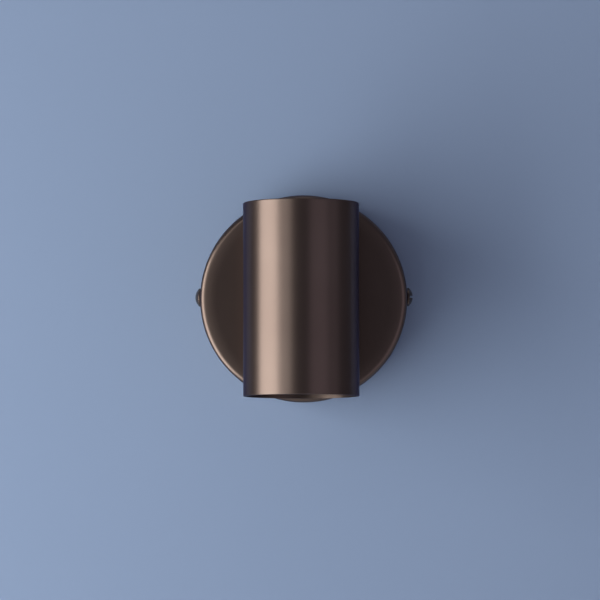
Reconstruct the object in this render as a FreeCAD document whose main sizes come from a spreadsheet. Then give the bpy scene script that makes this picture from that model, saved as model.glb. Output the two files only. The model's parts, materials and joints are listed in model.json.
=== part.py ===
import FreeCAD, Part
import math
import os
import re

import Sketcher
from FreeCAD import Placement, Rotation, Vector

# A wall light: a round backplate on the wall carries a fork that swivels about the
# backplate's axis, and the fork carries an upright lamp tube that tilts.
#
# Row frame, in millimetres: X right and Z up for someone who faces the wall, +Y into the
# wall. The wall is the plane y = 0, and the backplate's axis is x = z = 0.
# Head frame: the tube's centre is its origin and the tube's axis is its Z. It is turned
# about X by the tilt at rest, which brings the tube's lower end towards the viewer.
# Pivot frame: turned like the head frame, with its origin on the tilt axis.

SIZES = {
    # Backplate cover, drawn from sheet.
    "rose_radius": 55.0,
    "rose_depth": 25.0,
    "rose_wall": 1.2,
    "rose_edge": 3.0,
    "crown_width": 9.0,
    "crown_drop": 0.6,
    # Slotted screws: head radius, head height and slot width over the thread's radius,
    # and how much of the head's height is domed or cut by the slot.
    "head_ratio": 1.95,
    "height_ratio": 1.2,
    "slot_ratio": 0.5,
    "dome_share": 0.7,
    "slot_share": 0.5,
    # Wall bracket and the screws that hold the cover to it.
    "strap_half": 52.6,
    "strap_width": 18.0,
    "strap_wall": 1.5,
    "bend_inside": 0.6,
    "tab_reach": 18.0,
    "tongue_half": 12.0,
    "tongue_drop": 37.0,
    "slot_spacing": 66.0,
    "slot_length": 12.0,
    "slot_width": 4.5,
    "entry_radius": 6.0,
    "screw_row": 12.0,
    "screw_rise": 0.8,
    "cover_thread": 2.5,
    "cover_hole": 2.75,
    "cover_grip": 12.0,
    "nut_thick": 4.0,
    "nut_flats": 8.0,
    # Earth screw and the two crimped ring terminals.
    "earth_offset": 18.15,
    "earth_thread": 2.0,
    "earth_ring": 4.2,
    "earth_plate": 0.8,
    "earth_reach": 10.0,
    "cup_radius": 4.4,
    "cup_thick": 0.7,
    "crimp_length": 4.0,
    "crimp_radius": 1.35,
    "crimp_rise": 1.5,
    "tag_thread": 1.25,
    "tag_ring": 2.7,
    "tag_plate": 0.6,
    "tag_reach": 6.6,
    "tag_side": 7.2,
    "tag_back": 14.5,
    # Terminal block.
    "block_half": 10.0,
    "block_height": 13.0,
    "block_length": 17.0,
    "block_middle": 26.5,
    "way_offset": 5.2,
    "way_rise": 5.0,
    "insert_radius": 2.5,
    "insert_bore": 1.5,
    "insert_inset": 1.5,
    "clamp_offset": 4.5,
    "clamp_thread": 1.2,
    "clamp_head": 1.5,
    "clamp_well": 1.65,
    "clamp_seat": 3.1,
    "clamp_length": 2.2,
    "well_floor": 1.5,
    "block_thread": 1.25,
    "sink_radius": 2.6,
    "sink_depth": 4.0,
    # Swivel: nipple, washers, nut and stop.
    "nipple_radius": 5.0,
    "nipple_bore": 3.6,
    "nipple_end": 15.5,
    "nipple_bevel": 0.5,
    "slip_gap": 0.05,
    "face_gap": 0.6,
    "friction_thick": 0.6,
    "friction_radius": 9.0,
    "spring_height": 1.05,
    "spring_wall": 0.5,
    "spring_radius": 8.5,
    "stop_thick": 1.0,
    "stop_radius": 11.0,
    "stud_radius": 1.0,
    "swivel_flats": 14.0,
    "swivel_nut": 4.0,
    "bush_reach": 3.0,
    "bush_rim": 1.1,
    # Fork and tilt pivot.
    "flange_radius": 13.0,
    "flange_thick": 3.0,
    "flange_round": 0.8,
    "pivot_reach": 37.0,
    "ear_radius": 8.0,
    "ear_inside": 6.15,
    "ear_thick": 4.0,
    "ear_round": 0.6,
    "pivot_washer": 0.5,
    "shoulder_radius": 2.5,
    "pivot_thread": 2.0,
    "pivot_head": 4.6,
    "pivot_height": 2.6,
    "pivot_dome": 1.3,
    # Tongue on the back of the tube.
    "drum_half": 5.6,
    "neck_root": 1.0,
    "cavity_half": 2.9,
    "cavity_radius": 5.0,
    "saddle_radius": 10.5,
    "saddle_back": 8.6,
    "saddle_front": 14.0,
    "mouth_inner": 3.3,
    "mouth_outer": 8.5,
    "mouth_back": 9.0,
    "cable_radius": 2.5,
    "cable_gap": 0.8,
    # Lamp tube and its cap.
    "tube_radius": 30.0,
    "tube_half": 50.0,
    "tube_wall": 1.2,
    "tube_offset": 40.8,
    "rest_tilt": 4.0,
    "cap_recess": 3.0,
    "cap_skirt": 8.0,
    "cap_round": 0.8,
    "vent_row": 17.0,
    "vent_half": 6.0,
    "vent_radius": 1.6,
    "upper_round": 0.45,
    "lower_round": 0.3,
    "grommet_hole": 3.6,
    "grommet_lip": 1.4,
    "sheath_row": 23.0,
    # Bracket and holder inside the tube.
    "leg_wall": 1.4,
    "leg_gap": 0.1,
    "leg_angle": 46.0,
    "leg_bottom": 9.0,
    "shelf_level": 31.6,
    "shelf_half": 11.0,
    "shelf_front": 13.0,
    "shelf_back": 26.0,
    "shelf_neck": 6.0,
    "shelf_slot": 22.0,
    "head_screw_row": 7.6,
    "head_thread": 1.5,
    "head_screw_length": 4.6,
    "holder_screw_length": 8.0,
    "holder_radius": 15.0,
    "holder_face": 12.5,
    "holder_round": 1.2,
    "holder_lip": 1.4,
    "holder_skirt": 11.0,
    "holder_step": 2.5,
    "chamber_top": 9.0,
    "contact_level": 7.4,
    "contact_thick": 0.5,
    "contact_half": 1.5,
    "holder_screw_row": 9.0,
    "lead_hole_row": 6.5,
    "pin_row": 5.0,
    "pin_foot": 3.0,
    "pin_thin": 1.0,
    "pin_radius": 1.25,
    "pin_neck": 5.0,
    "pin_head": 2.45,
    "pin_rise": 7.2,
    "pin_twist": 30.0,
    "pin_play": 0.35,
    # Lamp, a 50 mm reflector shape with a twist-and-lock base.
    "lamp_radius": 25.0,
    "lamp_wall": 1.6,
    "bezel_height": 7.0,
    "belly_radius": 22.8,
    "belly_level": 18.0,
    "waist_radius": 18.0,
    "waist_level": 4.0,
    "collar_radius": 14.2,
    "collar_level": 3.4,
    "lens_level": 38.0,
    "lens_radius": 23.35,
    "lens_recess": 0.7,
    "lens_thick": 2.0,
    "optic_row": 12.2,
    "optic_front": 5.8,
    "optic_back": 2.4,
    "optic_length": 5.2,
    "board_radius": 20.4,
    "board_recess": 9.0,
    "board_thick": 1.4,
    "led_half": 1.75,
    "led_height": 0.8,
    "base_radius": 12.55,
    "base_level": 12.2,
    "base_bottom": 1.0,
    "base_wall": 1.5,
    "core_radius": 0.8,
}

# Levels counted from the wall towards the viewer, as formulas of the sheet's cells.
PLATE_INSIDE = "(rose_depth - rose_wall)"
FRICTION_BACK = "(rose_depth - rose_wall - slip_gap - friction_thick)"
SPRING_BACK = "(rose_depth - rose_wall - slip_gap - friction_thick - spring_height)"
STOP_BACK = "(rose_depth - rose_wall - slip_gap - friction_thick - spring_height - stop_thick)"
FLANGE_BACK = "(rose_depth + face_gap)"
FLANGE_FRONT = "(rose_depth + face_gap + flange_thick)"
# Where the neck's axis meets the tube, above the tube's middle, in the head frame.
NECK_RISE = "(tube_offset * tan(rest_tilt))"
TUBE_INSIDE = "(tube_radius - tube_wall)"
LEG_INSIDE = "(tube_radius - tube_wall - leg_gap - leg_wall)"
SHELF_TOP = "(shelf_level + leg_wall)"
# Where the cable's sheath ends behind the swivel, and where its cores begin.
SHEATH_END = "(nipple_end - 1.5)"
CORE_START = "(nipple_end - 1.9)"

DOC = FreeCAD.newDocument("pivoting_wall_spotlight")
SHEET = DOC.addObject("Spreadsheet::Sheet", "dims")
CELL_NAME = re.compile(r"\b[a-z]+(?:_[a-z]+)+\b")
NODES = []


def fill_sheet():
    for row, (alias, size) in enumerate(SIZES.items(), start=1):
        SHEET.set(f"A{row}", alias)
        SHEET.set(f"B{row}", str(size))
        SHEET.setAlias(f"B{row}", alias)
    DOC.recompute()


def formula(text):
    """Point each cell name in a formula at the sheet."""
    return CELL_NAME.sub(lambda found: "dims." + found.group(), str(text))


def value(text):
    return float(SHEET.evalExpression(formula(text)))


def bind(item, path, text):
    if CELL_NAME.search(str(text)):
        item.setExpression(path, formula(text))


# Sketches ---------------------------------------------------------------------------


def sketch_on(body, name, plane, offset="0", turn=0.0):
    """A sketch on one of the body's own origin planes, moved along the plane's normal."""
    sketch = body.newObject("Sketcher::SketchObject", name)
    support = next(item for item in body.Origin.OriginFeatures if item.Role == plane)
    sketch.AttachmentSupport = (support, [""])
    sketch.MapMode = "FlatFace"
    sketch.AttachmentOffset = Placement(Vector(0, 0, value(offset)), Rotation(Vector(0, 0, 1), turn))
    bind(sketch, "AttachmentOffset.Base.z", offset)
    return sketch


def hold(sketch, geometry, point, x, y):
    """Dimension one point of the sketch from its origin."""
    for kind, axis, text in (("DistanceX", -2, x), ("DistanceY", -1, y)):
        if abs(value(text)) < 1e-9:
            sketch.addConstraint(Sketcher.Constraint("PointOnObject", geometry, point, axis))
            continue
        limit = Sketcher.Constraint(kind, -1, 1, geometry, point, value(text))
        bind(sketch, f"Constraints[{sketch.addConstraint(limit)}]", text)


def bulge(start, end, radius):
    """The convex arc between two corners of an outline that runs counter-clockwise."""
    chord = end - start
    inward = Vector(-chord.y, chord.x, 0).normalize()
    centre = start + chord * 0.5 + inward * math.sqrt(radius ** 2 - chord.Length ** 2 / 4)
    angles = [math.atan2(point.y - centre.y, point.x - centre.x) for point in (start, end)]
    return Part.ArcOfCircle(Part.Circle(centre, Vector(0, 0, 1), radius), *angles)


def outline(sketch, corners, arcs=None):
    """A closed outline through corners, each a pair of formulas; arcs gives radii by side."""
    arcs = arcs or {}
    first = sketch.GeometryCount
    count = len(corners)
    points = [Vector(value(x), value(y), 0) for x, y in corners]
    for number, point in enumerate(points):
        ahead = points[(number + 1) % count]
        if number in arcs:
            sketch.addGeometry(bulge(point, ahead, value(arcs[number])))
        else:
            sketch.addGeometry(Part.LineSegment(point, ahead))
    for number in range(count):
        following = first + (number + 1) % count
        sketch.addConstraint(Sketcher.Constraint("Coincident", first + number, 2, following, 1))
    for number, (x, y) in enumerate(corners):
        hold(sketch, first + number, 1, x, y)
    for number, radius in arcs.items():
        limit = sketch.addConstraint(Sketcher.Constraint("Radius", first + number, value(radius)))
        bind(sketch, f"Constraints[{limit}]", radius)


def rectangle(sketch, low_x, low_y, high_x, high_y):
    outline(sketch, [(low_x, low_y), (high_x, low_y), (high_x, high_y), (low_x, high_y)])


def hexagon(sketch, x, y, flats):
    corners = []
    for angle in range(0, 360, 60):
        across = f"{x} + {flats} / sqrt(3) * cos({angle})"
        along = f"{y} + {flats} / sqrt(3) * sin({angle})"
        corners.append((across, along))
    outline(sketch, corners)


def circle(sketch, x, y, radius):
    centre = Vector(value(x), value(y), 0)
    index = sketch.addGeometry(Part.Circle(centre, Vector(0, 0, 1), value(radius)))
    hold(sketch, index, 3, x, y)
    limit = sketch.addConstraint(Sketcher.Constraint("Radius", index, value(radius)))
    bind(sketch, f"Constraints[{limit}]", radius)


def arc(sketch, x, y, radius, start, end):
    """An arc about a held centre, from one angle to the other in degrees."""
    round_line = Part.Circle(Vector(value(x), value(y), 0), Vector(0, 0, 1), value(radius))
    index = sketch.addGeometry(Part.ArcOfCircle(round_line, math.radians(start), math.radians(end)))
    hold(sketch, index, 3, x, y)
    limit = sketch.addConstraint(Sketcher.Constraint("Radius", index, value(radius)))
    bind(sketch, f"Constraints[{limit}]", radius)
    return index


def stadium(sketch, x, y, half_length, half_width):
    """A slot with round ends that runs along the sketch's first axis."""
    reach = f"({half_length} - {half_width})"
    right = arc(sketch, f"{x} + {reach}", y, half_width, -90, 90)
    left = arc(sketch, f"{x} - {reach}", y, half_width, 90, 270)
    ends = [value(f"{x} + {reach}"), value(f"{x} - {reach}")]
    top = value(f"{y} + {half_width}")
    bottom = value(f"{y} - {half_width}")
    upper = sketch.addGeometry(Part.LineSegment(Vector(ends[0], top, 0), Vector(ends[1], top, 0)))
    lower = sketch.addGeometry(Part.LineSegment(Vector(ends[1], bottom, 0), Vector(ends[0], bottom, 0)))
    for line, before, after in ((upper, right, left), (lower, left, right)):
        sketch.addConstraint(Sketcher.Constraint("Tangent", before, 2, line, 1))
        sketch.addConstraint(Sketcher.Constraint("Tangent", line, 2, after, 1))


def arch(sketch, foot, centre, radius):
    """A tongue as wide as its round end, along the sketch's first axis towards minus."""
    end = arc(sketch, centre, "0", radius, 90, 270)
    reach = value(radius)
    corners = [
        Vector(value(centre), -reach, 0),
        Vector(value(foot), -reach, 0),
        Vector(value(foot), reach, 0),
        Vector(value(centre), reach, 0),
    ]
    lines = [sketch.addGeometry(Part.LineSegment(a, b)) for a, b in zip(corners, corners[1:])]
    sketch.addConstraint(Sketcher.Constraint("Tangent", end, 2, lines[0], 1))
    sketch.addConstraint(Sketcher.Constraint("Coincident", lines[0], 2, lines[1], 1))
    sketch.addConstraint(Sketcher.Constraint("Coincident", lines[1], 2, lines[2], 1))
    sketch.addConstraint(Sketcher.Constraint("Tangent", lines[2], 2, end, 1))
    sketch.addConstraint(Sketcher.Constraint("Vertical", lines[1]))
    limit = Sketcher.Constraint("DistanceX", -1, 1, lines[1], 1, value(foot))
    bind(sketch, f"Constraints[{sketch.addConstraint(limit)}]", foot)


# Features ---------------------------------------------------------------------------


def new_body(name):
    return DOC.addObject("PartDesign::Body", name)


def pad(body, sketch, length, both=False, flip=False):
    step = body.newObject("PartDesign::Pad", sketch.Name + "_pad")
    step.Profile = sketch
    step.SideType = "Symmetric" if both else "One side"
    step.Reversed = flip
    step.Length = value(length)
    bind(step, "Length", length)
    DOC.recompute()
    return step


def cut(body, sketch, length=None, both=False, flip=False):
    """Pocket to a depth, or through everything, and make sure that it removed material."""
    before = body.Shape.Volume
    step = body.newObject("PartDesign::Pocket", sketch.Name + "_cut")
    step.Profile = sketch
    step.SideType = "Symmetric" if both else "One side"
    step.Reversed = flip
    if length is None:
        step.Type = "ThroughAll"
    else:
        step.Length = value(length)
        bind(step, "Length", length)
    DOC.recompute()
    if body.Shape.Volume > before - 1e-3:
        raise ValueError(f"{step.Name} cuts nothing")
    return step


def revolve(body, sketch, axis, kind="PartDesign::Revolution", angle=360.0, both=False, flip=False):
    step = body.newObject(kind, sketch.Name + "_turn")
    step.Profile = sketch
    step.ReferenceAxis = (sketch, [axis])
    step.Angle = angle
    step.Midplane = both
    step.Reversed = flip
    DOC.recompute()
    return step


def turned(name, axis, corners, arcs=None):
    """A turned body: corners are (radius, place along the axis), or the reverse about X."""
    body = new_body(name)
    plane = "XZ_Plane" if axis == "Z" else "XY_Plane"
    sketch = sketch_on(body, name + "_profile", plane)
    outline(sketch, corners, arcs)
    revolve(body, sketch, "H_Axis" if axis == "X" else "V_Axis")
    return body


def ring(name, axis, inner, outer, low, high):
    return turned(name, axis, [(inner, low), (outer, low), (outer, high), (inner, high)])


def dress(body, kind, name, size, wanted):
    """Fillet or chamfer the edges that a test picks out."""
    tip = body.Tip
    edges = [f"Edge{number}" for number, edge in enumerate(tip.Shape.Edges, start=1) if wanted(edge)]
    if not edges:
        raise ValueError(f"{name} finds no edge")
    step = body.newObject("PartDesign::" + kind, name)
    step.Base = (tip, edges)
    path = "Radius" if kind == "Fillet" else "Size"
    setattr(step, path, value(size))
    bind(step, path, size)
    DOC.recompute()
    return step


def circle_at(radius, axis, place):
    """A test for a circular edge by its radius and its centre's place along an axis."""
    def wanted(edge):
        if not isinstance(edge.Curve, Part.Circle):
            return False
        same_radius = abs(edge.Curve.Radius - value(radius)) < 1e-4
        return same_radius and abs(getattr(edge.Curve.Center, axis) - value(place)) < 1e-4
    return wanted


def outline_edge(edge):
    """A test for an edge that lies in a plane of constant X and runs along Y."""
    box = edge.BoundBox
    return box.XLength < 1e-4 and box.YLength > 1e-4


def line_at(x, y):
    """A test for an edge along Z at a place, on either side of the YZ plane."""
    def wanted(edge):
        box = edge.BoundBox
        along = box.XLength < 1e-4 and box.YLength < 1e-4
        return along and abs(abs(box.XMin) - value(x)) < 1e-4 and abs(box.YMin - value(y)) < 1e-4
    return wanted


def repeat_round(body, name, steps, sketch, count):
    pattern = body.newObject("PartDesign::PolarPattern", name)
    pattern.Originals = steps
    pattern.Axis = (sketch, ["N_Axis"])
    pattern.Angle = 360
    pattern.Occurrences = count
    body.Tip = pattern
    DOC.recompute()


# Placing and naming -----------------------------------------------------------------


def place(piece, x="0", y="0", z="0", rotation=Rotation()):
    piece.Placement = Placement(Vector(value(x), value(y), value(z)), rotation)
    for axis, text in zip("xyz", (x, y, z)):
        bind(piece, f"Placement.Base.{axis}", text)


def tilt(piece, y):
    """Put a piece at a place on the viewer's side, turned by the tilt at rest."""
    place(piece, y=y, rotation=Rotation(Vector(1, 0, 0), -value("rest_tilt")))
    bind(piece, "Placement.Rotation.Angle", "-rest_tilt")


def in_pivot_frame(piece):
    tilt(piece, "-pivot_reach")


def in_head_frame(piece):
    tilt(piece, "-(pivot_reach + tube_offset / cos(rest_tilt))")


def group(name, pieces):
    """Identical loose pieces as one sub-part of separate solids."""
    bundle = DOC.addObject("Part::Compound", name)
    bundle.Links = pieces
    DOC.recompute()
    return bundle


def mirrored(name, source):
    copy = DOC.addObject("Part::Mirroring", name)
    copy.Source = source
    copy.Normal = Vector(1, 0, 0)
    DOC.recompute()
    return copy


def node(piece, label):
    piece.Label = label
    NODES.append(piece)


def slotted_screw(name, thread, length, turn=0.0, head=None):
    """A domed screw along Z: its head stands on z = 0 and its shank goes down."""
    head = head or f"head_ratio * {thread}"
    height = f"height_ratio * {thread}"
    dome = f"(dome_share * {height})"
    end = f"-({length})"
    body = turned(name, "Z", [
        ("0", end),
        (thread, end),
        (thread, "0"),
        (head, "0"),
        (head, f"{height} - {dome}"),
        ("0", height),
    ], {4: f"(({head}) ^ 2 + {dome} ^ 2) / (2 * {dome})"})
    slot = sketch_on(body, name + "_slot", "XY_Plane", offset=height, turn=turn)
    reach = f"1.1 * {head}"
    half = f"slot_ratio * {thread} / 2"
    rectangle(slot, f"-{reach}", f"-{half}", reach, half)
    cut(body, slot, f"slot_share * {height}")
    return body


TO_VIEWER = Rotation(Vector(1, 0, 0), 90)
TO_RIGHT = Rotation(Vector(0, 1, 0), 90)
TO_LEFT = Rotation(Vector(0, 1, 0), -90)
TO_BACK = Rotation(Vector(0, 0, 1), -90)


def core_solid(points, radius, bend):
    """A round core along straight runs joined by tangent arcs of one radius."""
    edges = []
    start = points[0]
    for corner, ahead in zip(points[1:-1], points[2:]):
        before = (corner - start).normalize()
        after = (ahead - corner).normalize()
        half = before.getAngle(after) / 2
        leave = corner - before * (bend * math.tan(half))
        arrive = corner + after * (bend * math.tan(half))
        inward = (after - before).normalize()
        middle = corner + inward * (bend / math.cos(half) - bend)
        edges.append(Part.LineSegment(start, leave).toShape())
        edges.append(Part.Arc(leave, middle, arrive).toShape())
        start = arrive
    edges.append(Part.LineSegment(start, points[-1]).toShape())
    path = Part.Wire(edges)
    section = Part.Wire(Part.makeCircle(radius, points[0], points[1] - points[0]))
    solid = path.makePipeShell([section], True, False)
    expected = path.Length * math.pi * radius ** 2
    if abs(solid.Volume - expected) > 0.02 * expected:
        raise ValueError("a core's volume is not its section times its length")
    return solid


def core(name, route, bend, frame=None):
    """An insulated core through route, whose places are formulas, as a plain shape."""
    points = [Vector(value(x), value(y), value(z)) for x, y, z in route]
    piece = DOC.addObject("Part::Feature", name)
    piece.Shape = core_solid(points, value("core_radius"), bend)
    if frame:
        frame(piece)
    node(piece, name)


def ring_terminal(name, thread, ring_radius, plate, reach):
    """A crimped ring terminal: its ring flat on z = 0 and its barrel towards minus X."""
    body = new_body(name)
    flat = sketch_on(body, name + "_ring", "XY_Plane")
    circle(flat, "0", "0", ring_radius)
    pad(body, flat, plate)
    neck = sketch_on(body, name + "_neck", "XY_Plane")
    rectangle(neck, f"-({reach} - crimp_length / 2)", "-0.8 * crimp_radius", "0", "0.8 * crimp_radius")
    pad(body, neck, plate)
    barrel = sketch_on(body, name + "_barrel", "YZ_Plane", offset=f"-{reach}")
    circle(barrel, "0", "crimp_rise", "crimp_radius")
    pad(body, barrel, "crimp_length")
    bore = sketch_on(body, name + "_bore", "YZ_Plane", offset=f"-{reach}")
    circle(bore, "0", "crimp_rise", "core_radius + slip_gap")
    cut(body, bore, "crimp_length", flip=True)
    hole = sketch_on(body, name + "_hole", "XY_Plane")
    circle(hole, "0", "0", f"{thread} + slip_gap")
    cut(body, hole, both=True)
    return body


# Fixed to the wall ------------------------------------------------------------------


def backplate_cover():
    """A drawn cup with a slightly crowned front, the swivel's hole and a stop stud inside."""
    rim = "-(rose_depth - crown_drop)"
    body = turned("backplate_cover", "Y", [
        ("nipple_radius + slip_gap", "-rose_depth"),
        ("rose_radius - crown_width", "-rose_depth"),
        ("rose_radius", rim),
        ("rose_radius", "0"),
        ("rose_radius - rose_wall", "0"),
        ("rose_radius - rose_wall", rim + " + rose_wall"),
        ("rose_radius - crown_width", "-" + PLATE_INSIDE),
        ("nipple_radius + slip_gap", "-" + PLATE_INSIDE),
    ], {1: "(crown_width ^ 2 + crown_drop ^ 2) / (2 * crown_drop)"})
    stud = sketch_on(body, "stop_stud", "XZ_Plane", offset="rose_depth - rose_wall / 2")
    circle(stud, "0", "-stop_radius", "stud_radius")
    pad(body, stud, "rose_wall / 2 + slip_gap + friction_thick + spring_height + stop_thick", flip=True)
    dress(body, "Fillet", "front_edge", "rose_edge", circle_at("rose_radius", "y", rim))
    inner_edge = circle_at("rose_radius - rose_wall", "y", rim + " + rose_wall")
    dress(body, "Fillet", "front_edge_inside", "rose_edge - rose_wall", inner_edge)
    holes = sketch_on(body, "cover_screw_holes", "YZ_Plane")
    circle(holes, "-screw_row", "screw_rise", "cover_hole")
    cut(body, holes, both=True)
    node(body, "backplate_cover")


def wall_bracket():
    """A flat strap with both ends bent forward and a tongue down for the terminals."""
    body = new_body("wall_bracket")
    plan = sketch_on(body, "bracket_plan", "XZ_Plane")
    outline(plan, [
        ("-strap_half", "-strap_width / 2"),
        ("-tongue_half", "-strap_width / 2"),
        ("-tongue_half", "-tongue_drop"),
        ("tongue_half", "-tongue_drop"),
        ("tongue_half", "-strap_width / 2"),
        ("strap_half", "-strap_width / 2"),
        ("strap_half", "strap_width / 2"),
        ("-strap_half", "strap_width / 2"),
    ])
    pad(body, plan, "strap_wall")
    tabs = sketch_on(body, "bracket_tabs", "XZ_Plane")
    rectangle(tabs, "strap_half - strap_wall", "-strap_width / 2", "strap_half", "strap_width / 2")
    rectangle(tabs, "-strap_half", "-strap_width / 2", "-strap_half + strap_wall", "strap_width / 2")
    pad(body, tabs, "tab_reach")
    dress(body, "Fillet", "outer_bends", "bend_inside + strap_wall", line_at("strap_half", "0"))
    inner_bends = line_at("strap_half - strap_wall", "-strap_wall")
    dress(body, "Fillet", "inner_bends", "bend_inside", inner_bends)
    slots = sketch_on(body, "wall_slots", "XZ_Plane")
    for side in ("slot_spacing / 2", "-slot_spacing / 2"):
        stadium(slots, side, "0", "slot_length / 2", "slot_width / 2")
    circle(slots, "0", "0", "entry_radius")
    circle(slots, "earth_offset", "0", "earth_thread + slip_gap")
    circle(slots, "0", "-block_middle", "block_thread + slip_gap")
    cut(body, slots, both=True)
    holes = sketch_on(body, "tab_holes", "YZ_Plane")
    circle(holes, "-screw_row", "screw_rise", "cover_hole")
    cut(body, holes, both=True)
    node(body, "wall_bracket")


def bracket_nuts():
    """Weld nuts on the inner sides of the bracket's tabs."""
    body = new_body("bracket_nut_right")
    plan = sketch_on(body, "weld_nut", "YZ_Plane", offset="strap_half - strap_wall - nut_thick")
    hexagon(plan, "-screw_row", "screw_rise", "nut_flats")
    circle(plan, "-screw_row", "screw_rise", "cover_thread + slip_gap")
    pad(body, plan, "nut_thick")
    node(group("bracket_nuts", [body, mirrored("bracket_nut_left", body)]), "bracket_nuts")


def cover_screws():
    """Domed slotted screws through the cover's sides; each slot stopped where it did."""
    right = slotted_screw("cover_screw_right", "cover_thread", "cover_grip", turn=84.5)
    place(right, x="rose_radius", y="-screw_row", z="screw_rise", rotation=TO_RIGHT)
    left = slotted_screw("cover_screw_left", "cover_thread", "cover_grip", turn=4.0)
    place(left, x="-rose_radius", y="-screw_row", z="screw_rise", rotation=TO_LEFT)
    node(group("cover_screws", [right, left]), "cover_screws")


def earth_terminal():
    """Screw, cup washer and crimped ring that bond the bracket to the supply's earth."""
    lug = ring_terminal("earth_ring_terminal", "earth_thread", "earth_ring", "earth_plate", "earth_reach")
    place(lug, x="earth_offset", y="-strap_wall", rotation=TO_VIEWER)
    node(lug, "earth_ring_terminal")

    washer_back = "-(strap_wall + earth_plate)"
    washer_front = "-(strap_wall + earth_plate + cup_thick)"
    bore = "earth_thread + 2 * slip_gap"
    washer = ring("earth_cup_washer", "Y", bore, "cup_radius", washer_front, washer_back)
    place(washer, x="earth_offset")
    node(washer, "earth_cup_washer")

    grip = "strap_wall + earth_plate + cup_thick"
    screw = slotted_screw("earth_screw", "earth_thread", grip, turn=30.0)
    place(screw, x="earth_offset", y=washer_front, rotation=TO_VIEWER)
    node(screw, "earth_screw")


def terminal_block():
    """A two-pole block: a moulding, brass inserts, clamp screws and one fixing screw."""
    block = new_body("terminal_block_housing")
    plan = sketch_on(block, "block_plan", "XZ_Plane", offset="strap_wall")
    low = "-block_middle - block_length / 2"
    high = "-block_middle + block_length / 2"
    rectangle(plan, "-block_half", low, "block_half", high)
    pad(block, plan, "block_height")
    ways = sketch_on(block, "block_ways", "XY_Plane")
    front = sketch_on(block, "block_wells", "XZ_Plane", offset="strap_wall + block_height")
    sides = ("way_offset", "-way_offset")
    for side in sides:
        circle(ways, side, "-(strap_wall + way_rise)", "insert_radius + slip_gap")
        for row in ("-block_middle + clamp_offset", "-block_middle - clamp_offset"):
            circle(front, side, row, "clamp_well")
    cut(block, ways, both=True)
    cut(block, front, "block_height - way_rise - well_floor")
    sink = sketch_on(block, "fixing_sink", "XZ_Plane", offset="strap_wall + block_height")
    circle(sink, "0", "-block_middle", "sink_radius")
    cut(block, sink, "sink_depth")
    fixing = sketch_on(block, "fixing_hole", "XZ_Plane")
    circle(fixing, "0", "-block_middle", "block_thread + slip_gap")
    cut(block, fixing, both=True)
    node(block, "terminal_block_housing")

    inserts = []
    clamps = []
    half = "block_length / 2 - insert_inset"
    for number, side in enumerate(sides):
        tube = ring(f"insert_{number}", "Z", "insert_bore", "insert_radius", f"-({half})", half)
        holes = sketch_on(tube, f"insert_holes_{number}", "XZ_Plane")
        for row in ("clamp_offset", "-clamp_offset"):
            circle(holes, "0", row, "clamp_thread + slip_gap")
        cut(tube, holes, "2 * insert_radius", flip=True)
        place(tube, x=side, y="-(strap_wall + way_rise)", z="-block_middle")
        inserts.append(tube)
        for end, row in enumerate(("clamp_offset", "-clamp_offset")):
            name = f"clamp_{number}_{end}"
            screw = slotted_screw(name, "clamp_thread", "clamp_length", 25.0 * end, "clamp_head")
            seat = "-(strap_wall + way_rise + clamp_seat)"
            place(screw, x=side, y=seat, z=f"-block_middle + {row}", rotation=TO_VIEWER)
            clamps.append(screw)
    node(group("terminal_inserts", inserts), "terminal_inserts")
    node(group("terminal_clamp_screws", clamps), "terminal_clamp_screws")

    grip = "strap_wall + block_height - sink_depth"
    fixing_screw = slotted_screw("terminal_block_screw", "block_thread", grip, turn=40.0)
    place(fixing_screw, y=f"-({grip})", z="-block_middle", rotation=TO_VIEWER)
    node(fixing_screw, "terminal_block_screw")


def supply_cores():
    """Live, neutral and earth between the swivel's bush and their terminals."""
    bush = "-" + CORE_START
    way_top = "-block_middle + block_length / 2 - 4"
    deep = "-(strap_wall + way_rise)"
    for name, side, start in (("live", "-1", "-1.05"), ("neutral", "1", "1.05")):
        core(f"lead_{name}", [
            (start, bush, "-0.6"),
            (start, deep, "-0.6"),
            (f"{side} * way_offset", deep, "-12"),
            (f"{side} * way_offset", deep, way_top),
        ], 3.0)
    barrel = "-(strap_wall + crimp_rise)"
    core("lead_earth", [
        ("0", bush, "1.2"),
        ("0", "-(strap_wall + 4.5)", "1.2"),
        ("6", barrel, "0"),
        ("earth_offset - earth_reach + crimp_length / 2", barrel, "0"),
    ], 2.0)


# Turns with the swivel --------------------------------------------------------------


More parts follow.
